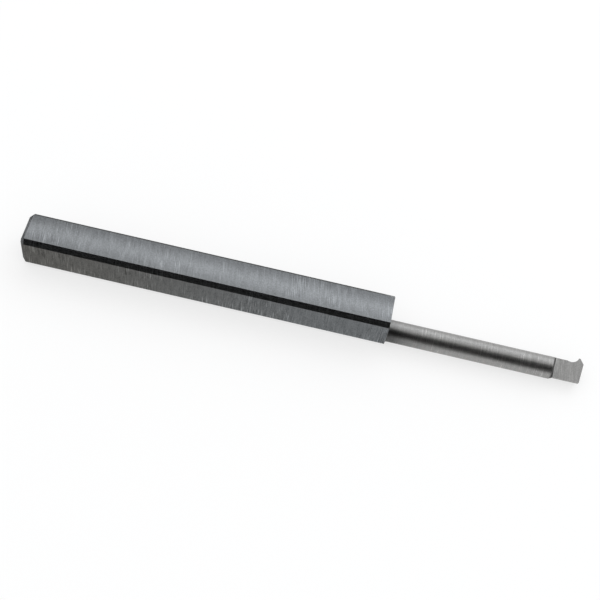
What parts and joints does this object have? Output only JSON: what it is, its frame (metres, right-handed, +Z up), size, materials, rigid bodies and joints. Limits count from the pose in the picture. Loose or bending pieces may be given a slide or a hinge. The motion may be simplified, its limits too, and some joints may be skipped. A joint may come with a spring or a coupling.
{
  "type": "carbide threading tool",
  "caption": "Square-shank carbide tool for cutting internal threads: bevelled bar, round offset neck, and a flat-topped head with a pointed tooth to one side.",
  "frame": {"origin": "centre of the flat face that the shank is seated on", "axes": "+X along the bar to the cutting point, +Y across it to the side that the tooth points, +Z up from the seat face"},
  "size_m": [0.094, 0.0064, 0.0063],
  "materials": {
    "ground_carbide": "ground, with fine streaks across the bar and round the neck"
  },
  "bodies": {
    "root": {"threading_tool": "ground_carbide"}
  },
  "joints": []
}
